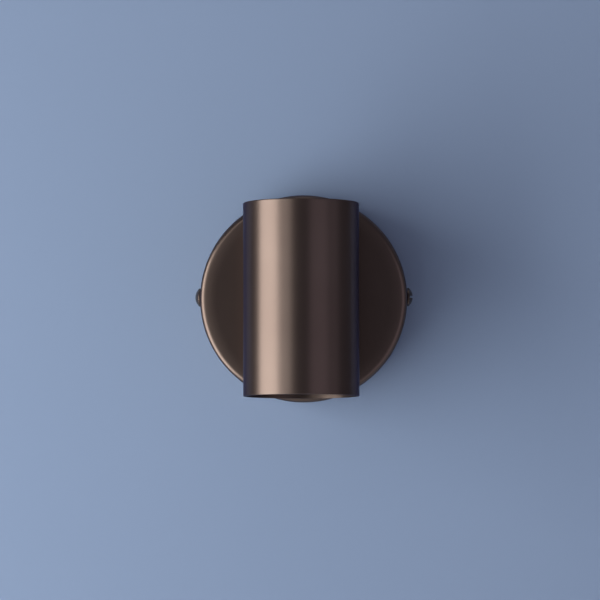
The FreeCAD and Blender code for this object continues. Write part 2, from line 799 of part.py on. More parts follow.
def swivel_stack():
    """Hollow threaded nipple and what clamps it, with friction, to the cover's front."""
    nipple = ring("swivel_nipple", "Y", "nipple_bore", "nipple_radius", "-" + FLANGE_FRONT, "-nipple_end")
    dress(nipple, "Chamfer", "nipple_lead", "nipple_bevel", circle_at("nipple_radius", "y", "-nipple_end"))
    node(nipple, "swivel_nipple")

    hole = "nipple_radius + slip_gap"
    face_back = "-(rose_depth + slip_gap)"
    face = ring("face_washer", "Y", hole, "flange_radius - 1", "-" + FLANGE_BACK, face_back)
    node(face, "face_washer")

    friction_front = f"-({PLATE_INSIDE} - slip_gap)"
    friction = ring("friction_washer", "Y", hole, "friction_radius", friction_front, "-" + FRICTION_BACK)
    node(friction, "friction_washer")

    spring = turned("disc_spring", "Y", [
        (hole, "-" + SPRING_BACK + " - spring_wall"),
        ("spring_radius", "-" + FRICTION_BACK),
        ("spring_radius", "-" + FRICTION_BACK + " + spring_wall"),
        (hole, "-" + SPRING_BACK),
    ])
    node(spring, "disc_spring")

    stop = ring("stop_washer", "Y", hole, "spring_radius", "-" + SPRING_BACK, "-" + STOP_BACK)
    tab = sketch_on(stop, "stop_tab", "XZ_Plane", offset=STOP_BACK)
    rectangle(tab, "-stud_radius", "spring_radius - 1", "stud_radius", "stop_radius + 1.5 * stud_radius")
    pad(stop, tab, "stop_thick")
    node(stop, "stop_washer")

    nut = new_body("swivel_nut")
    plan = sketch_on(nut, "swivel_nut_plan", "XZ_Plane", offset=f"{STOP_BACK} - swivel_nut")
    hexagon(plan, "0", "0", "swivel_flats")
    circle(plan, "0", "0", hole)
    pad(nut, plan, "swivel_nut")
    node(nut, "swivel_nut")

    bore = "cable_radius + 2 * slip_gap"
    bush = turned("cable_bush", "Y", [
        (bore, "-(nipple_end + bush_reach)"),
        ("nipple_bore - slip_gap", "-(nipple_end + bush_reach)"),
        ("nipple_bore - slip_gap", "-nipple_end"),
        ("nipple_radius", "-nipple_end"),
        ("nipple_radius", "-(nipple_end - bush_rim)"),
        (bore, "-(nipple_end - bush_rim)"),
    ])
    node(bush, "cable_bush")


def knuckle_fork():
    """Two ears that hold the tilt pivot, rising from a flange on the nipple."""
    hole = "nipple_radius + slip_gap"
    body = new_body("knuckle_fork")
    body.AllowCompound = True
    ears = sketch_on(body, "fork_ears", "YZ_Plane")
    foot = "-(rose_depth + face_gap + flange_thick / 2)"
    arch(ears, foot, "-pivot_reach", "ear_radius")
    pad(body, ears, "2 * (ear_inside + ear_thick)", both=True)
    gap = sketch_on(body, "fork_gap", "YZ_Plane")
    rectangle(gap, "-(pivot_reach + 2 * ear_radius)", "-2 * ear_radius", "0", "2 * ear_radius")
    cut(body, gap, "2 * ear_inside", both=True)
    dress(body, "Fillet", "ear_edges", "ear_round", outline_edge)
    flange = sketch_on(body, "fork_flange", "XY_Plane")
    back = "-" + FLANGE_BACK
    front = "-" + FLANGE_FRONT
    outline(flange, [
        (hole, front),
        ("flange_radius - flange_round", front),
        ("flange_radius", front + " + flange_round"),
        ("flange_radius", back),
        (hole, back),
    ], {1: "flange_round"})
    revolve(body, flange, "V_Axis")
    pivot = sketch_on(body, "fork_pivot", "YZ_Plane")
    circle(pivot, "-pivot_reach", "0", "shoulder_radius + slip_gap")
    cut(body, pivot, both=True)
    node(body, "knuckle_fork")


def pivot_washers():
    hole = "shoulder_radius + slip_gap"
    right = ring("pivot_washer_right", "Y", hole, "ear_radius - 1", "-pivot_washer", "0")
    place(right, x="ear_inside", y="-pivot_reach", rotation=TO_BACK)
    node(group("pivot_washers", [right, mirrored("pivot_washer_left", right)]), "pivot_washers")


def swivel_cable():
    end = "-(pivot_reach - cable_gap)"
    node(ring("swivel_cable", "Y", "0", "cable_radius", end, "-" + SHEATH_END), "swivel_cable")


# Tilts with the tube ----------------------------------------------------------------


def head_tongue():
    """A hollow drum between the fork's ears, a neck, and a saddle that fits the tube."""
    body = turned("head_tongue", "Y", [
        ("0", "-neck_root"),
        ("drum_half", "-neck_root"),
        ("drum_half", "-saddle_back"),
        ("saddle_radius", "-saddle_back"),
        ("saddle_radius", "-saddle_front"),
        ("0", "-saddle_front"),
    ])
    drum = sketch_on(body, "tongue_drum", "YZ_Plane")
    circle(drum, "0", "0", "ear_radius")
    pad(body, drum, "2 * drum_half", both=True)
    saddle = sketch_on(body, "tongue_saddle", "XY_Plane")
    circle(saddle, "0", "-tube_offset", "tube_radius")
    cut(body, saddle, both=True)
    hollow = sketch_on(body, "tongue_hollow", "YZ_Plane")
    circle(hollow, "0", "0", "cavity_radius")
    cut(body, hollow, "2 * cavity_half", both=True)
    mouth = sketch_on(body, "tongue_mouth", "YZ_Plane")
    outline(mouth, [
        ("0", "-mouth_inner"),
        ("mouth_back", "-mouth_outer"),
        ("mouth_back", "mouth_outer"),
        ("0", "mouth_inner"),
    ])
    cut(body, mouth, "2 * cavity_half", both=True)
    bore = sketch_on(body, "tongue_bore", "XZ_Plane")
    circle(bore, "0", "0", "cable_radius + 6 * slip_gap")
    cut(body, bore, "1.5 * saddle_front", flip=True)
    threads = sketch_on(body, "tongue_threads", "XZ_Plane", offset="cavity_radius")
    for row in ("head_screw_row", "-head_screw_row"):
        circle(threads, "0", row, "head_thread + slip_gap")
    cut(body, threads, "saddle_front", flip=True)
    pivot = sketch_on(body, "tongue_pivot", "YZ_Plane")
    circle(pivot, "0", "0", "pivot_thread + slip_gap")
    cut(body, pivot, both=True)
    in_pivot_frame(body)
    node(body, "head_tongue")


def pivot_screws():
    """Shoulder screws that turn in the fork's ears and thread into the drum."""
    seat = "ear_inside + ear_thick + slip_gap"
    front = seat + " + pivot_height"
    tip = "cavity_half + 4 * slip_gap"
    body = turned("pivot_screw_right", "X", [
        (tip, "0"),
        (tip, "pivot_thread"),
        ("drum_half", "pivot_thread"),
        ("drum_half", "shoulder_radius"),
        (seat, "shoulder_radius"),
        (seat, "pivot_head"),
        (front, "pivot_head"),
        (front, "0"),
    ])
    dress(body, "Fillet", "pivot_dome", "pivot_dome", circle_at("pivot_head", "x", front))
    slot = sketch_on(body, "pivot_slot", "YZ_Plane", offset=front, turn=35.0)
    half = "slot_ratio * pivot_thread / 2"
    rectangle(slot, "-1.1 * pivot_head", f"-{half}", "1.1 * pivot_head", half)
    cut(body, slot, "slot_share * pivot_height")
    pair = group("pivot_screws", [body, mirrored("pivot_screw_left", body)])
    in_pivot_frame(pair)
    node(pair, "pivot_screws")


def lamp_tube():
    """A drawn tube, open at both ends, with its holes behind for the neck."""
    body = ring("lamp_tube", "Z", TUBE_INSIDE, "tube_radius", "-tube_half", "tube_half")
    dress(body, "Fillet", "upper_edge", "upper_round", circle_at("tube_radius", "z", "tube_half"))
    dress(body, "Fillet", "lower_edge", "lower_round", circle_at("tube_radius", "z", "-tube_half"))
    cut_neck_holes(body, "tube")
    in_head_frame(body)
    node(body, "lamp_tube")


def cut_neck_holes(body, name):
    """Holes in a back wall for the cable's grommet and the two head screws."""
    holes = sketch_on(body, name + "_neck_holes", "XZ_Plane")
    circle(holes, "0", NECK_RISE, "grommet_hole")
    for row in ("head_screw_row", "-head_screw_row"):
        circle(holes, "0", f"{NECK_RISE} + {row}", "head_thread + 3 * slip_gap")
    cut(body, holes, "1.2 * tube_radius")


def top_cap():
    """A pressed cap sunk into the tube's upper end, with a ring of radial vents."""
    top = "tube_half - cap_recess"
    rim = f"{TUBE_INSIDE} - slip_gap"
    body = turned("top_cap", "Z", [
        ("0", f"{top}"),
        (rim, f"{top}"),
        (rim, f"{top} - cap_skirt"),
        (f"{rim} - tube_wall", f"{top} - cap_skirt"),
        (f"{rim} - tube_wall", f"{top} - tube_wall"),
        ("0", f"{top} - tube_wall"),
    ])
    dress(body, "Fillet", "cap_edge", "cap_round", circle_at(rim, "z", top))
    vent = sketch_on(body, "cap_vent", "XY_Plane")
    stadium(vent, "vent_row", "0", "vent_half", "vent_radius")
    step = cut(body, vent, both=True)
    repeat_round(body, "cap_vents", [step], vent, 12)
    in_head_frame(body)
    node(body, "top_cap")


def lampholder_bracket():
    """A leg curved to the tube's back wall, and a shelf that carries the lampholder."""
    body = new_body("lampholder_bracket")
    leg = sketch_on(body, "bracket_leg", "YZ_Plane")
    rectangle(leg, LEG_INSIDE, "-leg_bottom", f"{LEG_INSIDE} + leg_wall", SHELF_TOP)
    revolve(body, leg, "V_Axis", angle=SIZES["leg_angle"], both=True)
    shelf = sketch_on(body, "bracket_shelf", "XY_Plane", offset="shelf_level")
    outline(shelf, [
        ("-shelf_half", "-shelf_front"),
        ("shelf_half", "-shelf_front"),
        ("shelf_half", "shelf_back"),
        ("shelf_neck", f"{LEG_INSIDE} + leg_wall / 2"),
        ("-shelf_neck", f"{LEG_INSIDE} + leg_wall / 2"),
        ("-shelf_half", "shelf_back"),
    ])
    pad(body, shelf, "leg_wall")
    cut_neck_holes(body, "leg")
    holes = sketch_on(body, "shelf_holes", "XY_Plane")
    for row in ("holder_screw_row", "-holder_screw_row"):
        circle(holes, "0", row, "head_thread + 3 * slip_gap")
    for side in ("lead_hole_row", "-lead_hole_row"):
        circle(holes, side, "0", "core_radius + 1")
    stadium(holes, "0", "shelf_slot", "7", "2")
    circle(holes, "tag_side", "tag_back", "tag_thread + slip_gap")
    cut(body, holes, both=True)
    in_head_frame(body)
    node(body, "lampholder_bracket")


def head_screws():
    """Two screws from inside the tube, through bracket and wall, into the saddle."""
    seat = f"-(tube_offset - {LEG_INSIDE} + 3 * slip_gap)"
    pieces = []
    for number, row in enumerate(("head_screw_row", "-head_screw_row")):
        name = f"head_screw_{number}"
        turn = 20.0 + 50.0 * number
        screw = slotted_screw(name, "head_thread", "head_screw_length", turn)
        place(screw, y=seat, z=row, rotation=TO_VIEWER)
        pieces.append(screw)
    pair = group("head_screws", pieces)
    in_pivot_frame(pair)
    node(pair, "head_screws")


def lampholder():
    """A ceramic twist-lock holder with two contacts, screwed up under the shelf."""
    body = turned("lampholder_body", "Z", [
        ("0", "holder_face"),
        ("holder_radius", "holder_face"),
        ("holder_radius", "holder_face + holder_skirt"),
        ("holder_radius - holder_step", "holder_face + holder_skirt + holder_step"),
        ("holder_radius - holder_step", "shelf_level"),
        ("0", "shelf_level"),
    ])
    dress(body, "Fillet", "holder_edge", "holder_round", circle_at("holder_radius", "z", "holder_face"))
    chamber = sketch_on(body, "pin_chamber", "XZ_Plane")
    half = "(pin_head + pin_play)"
    floor = "holder_face + holder_lip"
    rectangle(chamber, f"pin_row - {half}", floor, f"pin_row + {half}", "holder_face + chamber_top")
    revolve(body, chamber, "V_Axis", kind="PartDesign::Groove")
    track = sketch_on(body, "pin_track", "XZ_Plane")
    half = "(pin_radius + pin_play)"
    below = "holder_face - 1"
    rectangle(track, f"pin_row - {half}", below, f"pin_row + {half}", floor + " + 0.5")
    turn = SIZES["pin_twist"]
    track_cut = revolve(body, track, "V_Axis", kind="PartDesign::Groove", angle=turn, flip=True)
    ends = sketch_on(body, "pin_ends", "XY_Plane", offset=below)
    circle(ends, "pin_row", "0", half)
    ends_cut = cut(body, ends, "2 * holder_lip", flip=True)
    entry = sketch_on(body, "pin_entry", "XY_Plane", offset=below)
    circle(entry, "pin_row * cos(pin_twist)", "-pin_row * sin(pin_twist)", "pin_head + 0.3")
    entry_cut = cut(body, entry, "2 * holder_lip", flip=True)
    repeat_round(body, "both_pins", [track_cut, ends_cut, entry_cut], entry, 2)
    wires = sketch_on(body, "holder_wires", "XY_Plane", offset="shelf_level")
    for side in ("lead_hole_row", "-lead_hole_row"):
        circle(wires, side, "0", "core_radius + 4 * slip_gap")
    cut(body, wires, "shelf_level - holder_face - chamber_top + 2")
    threads = sketch_on(body, "holder_threads", "XY_Plane", offset="shelf_level")
    for row in ("holder_screw_row", "-holder_screw_row"):
        circle(threads, "0", row, "head_thread + slip_gap")
    cut(body, threads, "holder_screw_length")
    in_head_frame(body)
    node(body, "lampholder_body")

    contact = new_body("contact_right")
    side_view = sketch_on(contact, "contact_strip", "XZ_Plane")
    outline(side_view, [
        ("pin_row - 2", "holder_face + contact_level"),
        ("pin_row + pin_head", "holder_face + contact_level"),
        ("pin_row + pin_head", "holder_face + chamber_top"),
        ("pin_row + pin_head - contact_thick", "holder_face + chamber_top"),
        ("pin_row + pin_head - contact_thick", "holder_face + contact_level + contact_thick"),
        ("pin_row - 2", "holder_face + contact_level + contact_thick"),
    ])
    pad(contact, side_view, "2 * contact_half", both=True)
    contacts = group("lampholder_contacts", [contact, mirrored("contact_left", contact)])
    in_head_frame(contacts)
    node(contacts, "lampholder_contacts")

    screws = []
    for number, row in enumerate(("holder_screw_row", "-holder_screw_row")):
        name = f"holder_screw_{number}"
        screw = slotted_screw(name, "head_thread", "holder_screw_length", turn=70.0 * number)
        place(screw, y=row, z=SHELF_TOP)
        screws.append(screw)
    holder_screws = group("lampholder_screws", screws)
    in_head_frame(holder_screws)
    node(holder_screws, "lampholder_screws")


def holder_earth():
    """Ring tag and screw that bond the metal head at the shelf."""
    tag = ring_terminal("earth_tag_piece", "tag_thread", "tag_ring", "tag_plate", "tag_reach")
    place(tag, x="tag_side", y="tag_back", z=SHELF_TOP, rotation=TO_BACK)
    raised_tag = group("holder_earth_tag", [tag])
    in_head_frame(raised_tag)
    node(raised_tag, "holder_earth_tag")

    screw = slotted_screw("holder_earth_bolt", "tag_thread", "leg_wall + tag_plate + 1", turn=65.0)
    place(screw, x="tag_side", y="tag_back", z=SHELF_TOP + " + tag_plate")
    raised_screw = group("holder_earth_screw", [screw])
    in_head_frame(raised_screw)
    node(raised_screw, "holder_earth_screw")


def head_wiring():
    """Cable through the neck and its grommet, and the three cores to the lampholder."""
    cable = ring("head_cable", "Y", "0", "cable_radius", "-(tube_offset - sheath_row)", "-cable_gap")
    in_pivot_frame(cable)
    node(cable, "head_cable")

    bore = "cable_radius + slip_gap"
    lip_front = f"-(tube_offset - {LEG_INSIDE} + grommet_lip)"
    lip_back = f"-(tube_offset - {LEG_INSIDE} + 0.4)"
    grommet = turned("cable_grommet", "Y", [
        (bore, lip_front),
        ("grommet_hole + 1", lip_front),
        ("grommet_hole + 1", lip_back),
        ("grommet_hole - 0.1", lip_back),
        ("grommet_hole - 0.1", "-(tube_offset - tube_radius + 0.3)"),
        (bore, "-(tube_offset - tube_radius + 0.3)"),
    ])
    in_pivot_frame(grommet)
    node(grommet, "cable_grommet")

    lift = NECK_RISE
    over = "shelf_level + 6.5"
    for name, side, start in (("live", "-lead_hole_row", "-3"), ("neutral", "lead_hole_row", "0.6")):
        core(f"holder_lead_{name}", [
            (f"0.35 * {start}", "22.8", lift),
            (f"0.35 * {start}", "18.6", lift),
            (start, "21.4", f"{lift} + 9"),
            (start, "21.4", over),
            (side, "0", over),
            (side, "0", "shelf_level - 3"),
        ], 2.0, in_head_frame)
    core("holder_lead_earth", [
        ("1.2", "22.8", f"{lift} + 0.9"),
        ("1.2", "19.0", f"{lift} + 0.9"),
        ("4.6", "21.8", f"{lift} + 10"),
        ("4.6", "21.8", "shelf_level + 0.5"),
        ("tag_side", "23.4", SHELF_TOP + " + crimp_rise"),
        ("tag_side", "tag_back + tag_reach - crimp_length / 2", SHELF_TOP + " + crimp_rise"),
    ], 0.9, in_head_frame)


# Turns out of the holder ------------------------------------------------------------


def lamp():
    """A reflector lamp: housing, lens, board with its emitters, base and lock pins."""
    housing = turned("lamp_housing", "Z", [
        ("lamp_radius - lamp_wall", "-lens_level"),
        ("lamp_radius", "-lens_level"),
        ("lamp_radius", "-lens_level + bezel_height"),
        ("belly_radius", "-belly_level"),
        ("waist_radius", "-waist_level"),
        ("collar_radius", "collar_level"),
        ("base_radius + slip_gap", "collar_level"),
        ("base_radius + slip_gap", "collar_level - 2"),
        ("waist_radius - lamp_wall", "-waist_level - 1"),
        ("belly_radius - lamp_wall", "-belly_level - 0.4"),
        ("lamp_radius - lamp_wall", "-lens_level + bezel_height"),
    ])
    in_head_frame(housing)
    node(housing, "lamp_housing")

    lens_back = "(-lens_level + lens_recess + lens_thick)"
    lens = turned("lamp_lens", "Z", [
        ("0", "-lens_level + lens_recess"),
        ("lens_radius", "-lens_level + lens_recess"),
        ("lens_radius", lens_back),
        ("0", lens_back),
    ])
    optic = sketch_on(lens, "optic", "XY_Plane", offset=lens_back)
    circle(optic, "optic_row", "0", "optic_front")
    cone = pad(lens, optic, "optic_length")
    cone.TaperAngle = -math.degrees(math.atan(value("(optic_front - optic_back) / optic_length")))
    cone.setExpression("TaperAngle", formula("-atan((optic_front - optic_back) / optic_length)"))
    repeat_round(lens, "optics", [cone], optic, 6)
    in_head_frame(lens)
    node(lens, "lamp_lens")

    board_front = "(-lens_level + board_recess)"
    board_back = board_front + " + board_thick"
    board = ring("lamp_led_board", "Z", "0", "board_radius", board_front, board_back)
    in_head_frame(board)
    node(board, "lamp_led_board")

    leds = []
    for number in range(6):
        led = new_body(f"led_{number}")
        plan = sketch_on(led, f"led_plan_{number}", "XY_Plane", offset=board_front)
        rectangle(plan, "-led_half", "-led_half", "led_half", "led_half")
        pad(led, plan, "led_height", flip=True)
        angle = 60 * number
        turn = Rotation(Vector(0, 0, 1), angle)
        place(led, f"optic_row * cos({angle})", f"optic_row * sin({angle})", rotation=turn)
        leds.append(led)
    emitters = group("lamp_leds", leds)
    in_head_frame(emitters)
    node(emitters, "lamp_leds")

    base = turned("lamp_base", "Z", [
        ("base_radius - base_wall", "base_bottom"),
        ("base_radius", "base_bottom"),
        ("base_radius", "base_level"),
        ("0", "base_level"),
        ("0", "base_level - base_wall"),
        ("base_radius - base_wall", "base_level - base_wall"),
    ])
    pin_holes = sketch_on(base, "base_pin_holes", "XY_Plane")
    for side in ("pin_row", "-pin_row"):
        circle(pin_holes, side, "0", "pin_thin + slip_gap")
    cut(base, pin_holes, both=True)
    in_head_frame(base)
    node(base, "lamp_base")

    pins = []
    for number, side in enumerate(("pin_row", "-pin_row")):
        pin = turned(f"lamp_pin_{number}", "Z", [
            ("0", "base_level - pin_foot"),
            ("pin_thin", "base_level - pin_foot"),
            ("pin_thin", "base_level"),
            ("pin_radius", "base_level"),
            ("pin_radius", "base_level + pin_neck"),
            ("pin_head", "base_level + pin_neck"),
            ("pin_head", "base_level + pin_rise"),
            ("0", "base_level + pin_rise"),
        ])
        place(pin, x=side)
        pins.append(pin)
    pair = group("lamp_pins", pins)
    in_head_frame(pair)
    node(pair, "lamp_pins")


def check_and_export():
    DOC.recompute()
    for item in DOC.Objects:
        if {"Invalid", "Error"} & set(item.State):
            raise ValueError(f"{item.Name} did not rebuild: {item.State}")
    os.makedirs("parts", exist_ok=True)
    for piece in NODES:
        shape = piece.Shape
        if shape.isNull() or not shape.isValid() or not shape.Solids:
            raise ValueError(f"{piece.Label} is not a sound solid")
        shape.exportStep(f"parts/{piece.Label}.step")
        print(f"{piece.Label}: {len(shape.Solids)} solid, {shape.Volume:.1f} mm3")


fill_sheet()
backplate_cover()
wall_bracket()
bracket_nuts()
cover_screws()
earth_terminal()
terminal_block()
supply_cores()
swivel_stack()
knuckle_fork()
pivot_washers()
swivel_cable()
head_tongue()
pivot_screws()
lamp_tube()
top_cap()
lampholder_bracket()
head_screws()
lampholder()
holder_earth()
head_wiring()
lamp()
check_and_export()
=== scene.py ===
import json
import math

import bmesh
import bpy
from mathutils import Matrix, Vector
from mathutils.bvhtree import BVHTree


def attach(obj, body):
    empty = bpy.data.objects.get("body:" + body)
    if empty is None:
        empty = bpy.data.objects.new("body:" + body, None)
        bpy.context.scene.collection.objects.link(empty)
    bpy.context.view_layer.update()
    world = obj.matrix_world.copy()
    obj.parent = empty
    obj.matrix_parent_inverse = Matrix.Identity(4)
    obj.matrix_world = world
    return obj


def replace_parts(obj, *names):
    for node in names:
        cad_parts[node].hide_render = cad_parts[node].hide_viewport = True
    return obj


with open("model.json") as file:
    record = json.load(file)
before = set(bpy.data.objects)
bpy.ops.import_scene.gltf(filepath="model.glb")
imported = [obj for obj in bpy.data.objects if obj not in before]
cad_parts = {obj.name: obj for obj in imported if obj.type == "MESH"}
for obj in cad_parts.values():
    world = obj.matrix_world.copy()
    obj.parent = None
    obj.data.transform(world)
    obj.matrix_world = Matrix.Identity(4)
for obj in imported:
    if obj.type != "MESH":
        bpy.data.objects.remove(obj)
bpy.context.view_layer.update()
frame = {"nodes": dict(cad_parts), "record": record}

# The object hangs on a wall at y = 0: X right and Z up for a viewer who faces it.
# Everything is in metres. The head frame has the tube's centre as its origin and the
# tube's axis as its Z, and the pivot frame is turned alike with its origin on the pivot.
MM = 0.001
REST_TILT = math.radians(4.0)
PIVOT_REACH = 0.037
TUBE_OFFSET = 0.0408
TUBE_CENTRE = Vector((0, -(PIVOT_REACH + TUBE_OFFSET / math.cos(REST_TILT)), 0))
HEAD = Matrix.Translation(TUBE_CENTRE) @ Matrix.Rotation(-REST_TILT, 4, "X")
PIVOT = Matrix.Translation((0, -PIVOT_REACH, 0)) @ Matrix.Rotation(-REST_TILT, 4, "X")
TO_VIEWER = Matrix.Rotation(math.radians(90), 4, "X")
TO_RIGHT = Matrix.Rotation(math.radians(90), 4, "Y")
TO_LEFT = Matrix.Rotation(math.radians(-90), 4, "Y")

# The photograph's frame and where the backplate's centre lies in it, in pixels.
IMAGE_SIDE = 600
PLATE_PIXEL = (303.6, 298.95)
PIXELS_PER_METRE = 1884.0
PLATE_OUTLINE_Y = -0.022
CAMERA_DISTANCE = 2.0
CAMERA_RIGHT = 0.0455
CAMERA_UP = 0.012
CAMERA_ROLL = math.radians(-0.18)
SENSOR = 0.036


# Camera -----------------------------------------------------------------------------


def add_camera():
    """Head-on to the wall, a little right of the light, with the plate where it was seen."""
    place = Vector((CAMERA_RIGHT, TUBE_CENTRE.y - CAMERA_DISTANCE, CAMERA_UP))
    depth = PLATE_OUTLINE_Y - place.y
    focal_pixels = PIXELS_PER_METRE * depth
    camera = bpy.data.cameras.new("camera")
    camera.sensor_width = SENSOR * 1000
    camera.lens = focal_pixels / IMAGE_SIDE * camera.sensor_width
    camera.clip_start = 0.01
    camera.clip_end = 50
    # The ray through the image's centre, such that the plate's centre lands on its pixel.
    aim_x = -(PLATE_PIXEL[0] - IMAGE_SIDE / 2) / focal_pixels * depth
    aim_z = (PLATE_PIXEL[1] - IMAGE_SIDE / 2) / focal_pixels * depth
    target = Vector((aim_x, PLATE_OUTLINE_Y, aim_z))
    holder = bpy.data.objects.new("camera", camera)
    holder.location = place
    aim = (target - place).to_track_quat("-Z", "Y").to_matrix()
    holder.rotation_euler = (aim @ Matrix.Rotation(CAMERA_ROLL, 3, "Z")).to_euler()
    bpy.context.scene.collection.objects.link(holder)
    bpy.context.scene.camera = holder


# Light ------------------------------------------------------------------------------


def panel(name, bearing, distance, width, height, radiance, rise=0.0, colour=(1, 1, 1)):
    """A soft panel that faces the tube, at a bearing from the camera's side, left negative."""
    angle = math.radians(bearing)
    away = Vector((math.sin(angle), -math.cos(angle), 0)) * distance
    place = TUBE_CENTRE + away + Vector((0, 0, rise))
    lamp = bpy.data.lights.new(name, "AREA")
    lamp.shape = "RECTANGLE"
    lamp.size = width
    lamp.size_y = height
    lamp.energy = radiance * 4 * width * height
    lamp.color = colour
    holder = bpy.data.objects.new(name, lamp)
    holder.location = place
    holder.rotation_euler = (TUBE_CENTRE - place).to_track_quat("-Z", "Y").to_euler()
    bpy.context.scene.collection.objects.link(holder)


def add_lights():
    """A tall soft panel at the left, its weaker inner flank, and faint ones at the right.

    One more is overhead. The last stands behind the wall, which is clear from that side.
    """
    panel("left_panel", -67.0, 1.2, 1.08, 2.0, 2.3, -0.35, (1.0, 0.995, 0.98))
    panel("left_flank", -31.0, 1.2, 0.55, 2.0, 0.62, -0.2)
    panel("right_fill", 37.0, 1.5, 1.2, 2.0, 0.18, -0.5, (1.0, 0.9, 1.1))
    panel("right_flank", 70.0, 1.5, 0.6, 2.0, 0.09, -0.5, (1.0, 0.9, 1.1))
    panel("top_panel", 0.0, 0.5, 1.2, 0.8, 0.25, 1.5)
    panel("rear_panel", 172.0, 1.3, 1.9, 1.9, 0.7, 0.2)


def add_world():
    """Dim room light on the object, and a pale background for what looks past it."""
    world = bpy.data.worlds.new("studio")
    world.use_nodes = True
    bpy.context.scene.world = world
    nodes, links = world.node_tree.nodes, world.node_tree.links
    nodes.clear()
    rays = nodes.new("ShaderNodeLightPath")
    room = nodes.new("ShaderNodeBackground")
    room.inputs["Color"].default_value = (0.86, 0.82, 1.0, 1)
    room.inputs["Strength"].default_value = 0.09
    seen = nodes.new("ShaderNodeBackground")
    seen.inputs["Color"].default_value = (0.70, 0.76, 0.84, 1)
    seen.inputs["Strength"].default_value = 1.0
    mix = nodes.new("ShaderNodeMixShader")
    output = nodes.new("ShaderNodeOutputWorld")
    links.new(rays.outputs["Is Camera Ray"], mix.inputs["Fac"])
    links.new(room.outputs["Background"], mix.inputs[1])
    links.new(seen.outputs["Background"], mix.inputs[2])
    links.new(mix.outputs["Shader"], output.inputs["Surface"])


# Materials --------------------------------------------------------------------------


def shader(material):
    return material.node_tree.nodes["Principled BSDF"]


def new_material(name, colour, metallic, roughness, **settings):
    material = bpy.data.materials.new(name)
    material.use_nodes = True
    surface = shader(material)
    surface.inputs["Base Color"].default_value = (*colour, 1)
    surface.inputs["Metallic"].default_value = metallic
    surface.inputs["Roughness"].default_value = roughness
    for socket, setting in settings.items():
        surface.inputs[socket.replace("_", " ")].default_value = setting
    return material


def add_node(material, kind, **settings):
    item = material.node_tree.nodes.new(kind)
    for name, setting in settings.items():
        if name in item.inputs:
            item.inputs[name].default_value = setting
        else:
            setattr(item, name, setting)
    return item


def link(material, source, target):
    material.node_tree.links.new(source, target)


def noise(material, scale, detail=3.0, stretch=(1, 1, 1)):
    """A noise in the row frame, longer along an axis whose stretch is below one."""
    where = add_node(material, "ShaderNodeTexCoord")
    mapping = add_node(material, "ShaderNodeMapping", Scale=stretch)
    texture = add_node(material, "ShaderNodeTexNoise", Scale=scale, Detail=detail)
    link(material, where.outputs["Object"], mapping.inputs["Vector"])
    link(material, mapping.outputs["Vector"], texture.inputs["Vector"])
    return texture.outputs["Fac"]


def cells(material, scale):
    """A random grey for each of many small cells."""
    where = add_node(material, "ShaderNodeTexCoord")
    texture = add_node(material, "ShaderNodeTexVoronoi", Scale=scale)
    grey = add_node(material, "ShaderNodeRGBToBW")
    link(material, where.outputs["Object"], texture.inputs["Vector"])
    link(material, texture.outputs["Color"], grey.inputs["Color"])
    return grey.outputs["Val"]


def tones(material, source, dark, light, low=0.35, high=0.65):
    """Base colour between two tones, by a source."""
    ramp = add_node(material, "ShaderNodeValToRGB")
    ramp.color_ramp.elements[0].position = low
    ramp.color_ramp.elements[0].color = (*dark, 1)
    ramp.color_ramp.elements[1].position = high
    ramp.color_ramp.elements[1].color = (*light, 1)
    link(material, source, ramp.inputs["Fac"])
    link(material, ramp.outputs["Color"], shader(material).inputs["Base Color"])


def shine(material, source, low, high):
    """Roughness between two values, by a source."""
    span = add_node(material, "ShaderNodeMapRange")
    span.inputs["To Min"].default_value = low
    span.inputs["To Max"].default_value = high
    link(material, source, span.inputs["Value"])
    link(material, span.outputs["Result"], shader(material).inputs["Roughness"])


def relief(material, source, strength, distance):
    bump = add_node(material, "ShaderNodeBump", Strength=strength, Distance=distance)
    link(material, source, bump.inputs["Height"])
    link(material, bump.outputs["Normal"], shader(material).inputs["Normal"])


# Specular tint of the bronze: dark at a low angle, as the finish itself is, and bluish there, which is
# a painted reflection of a blue wall.
DARK_EDGE_AND_PAINTED_REFLECTION = (0.31, 0.32, 0.45, 1)


def bronze():
    """Satin bronze plating: smooth, brown, slightly uneven in tone, dark at a low angle, with a
    painted blue reflection there.
    """
    material = new_material("bronze", (0.21, 0.158, 0.133), 1.0, 0.3, Specular_Tint=DARK_EDGE_AND_PAINTED_REFLECTION)
    tones(material, noise(material, 26.0), (0.202, 0.151, 0.127), (0.218, 0.165, 0.139))
    fine = noise(material, 2200.0, 3.0)
    shine(material, fine, 0.27, 0.33)
    relief(material, fine, 0.05, 0.0001)
    return material


def knuckle_bronze():
    """Machined and plated: darker, with faint turning marks."""
    material = new_material("knuckle_bronze", (0.17, 0.128, 0.105), 1.0, 0.32)
    tones(material, noise(material, 60.0), (0.145, 0.108, 0.089), (0.18, 0.136, 0.113))
    marks = noise(material, 500.0, 4.0, (0.2, 3.0, 0.2))
    shine(material, marks, 0.21, 0.31)
    relief(material, marks, 0.08, 0.0002)
    return material


def zinc_steel():
    """Bright zinc over rolled steel, with a fine spangle."""
    material = new_material("zinc_steel", (0.58, 0.60, 0.62), 1.0, 0.3)
    tones(material, cells(material, 2400.0), (0.53, 0.555, 0.58), (0.61, 0.63, 0.645), 0.1, 0.9)
    streaks = noise(material, 400.0, 5.0, (0.15, 1.0, 1.0))
    shine(material, streaks, 0.24, 0.42)
    relief(material, streaks, 0.1, 0.0002)
    return material


def plain_brass():
    """Turned brass, a little tarnished."""
    material = new_material("plain_brass", (0.70, 0.50, 0.21), 1.0, 0.28)
    tones(material, noise(material, 180.0), (0.56, 0.38, 0.15), (0.76, 0.56, 0.26))
    marks = noise(material, 900.0, 3.0, (0.3, 2.0, 0.3))
    shine(material, marks, 0.2, 0.4)
    relief(material, marks, 0.08, 0.0001)
    return material


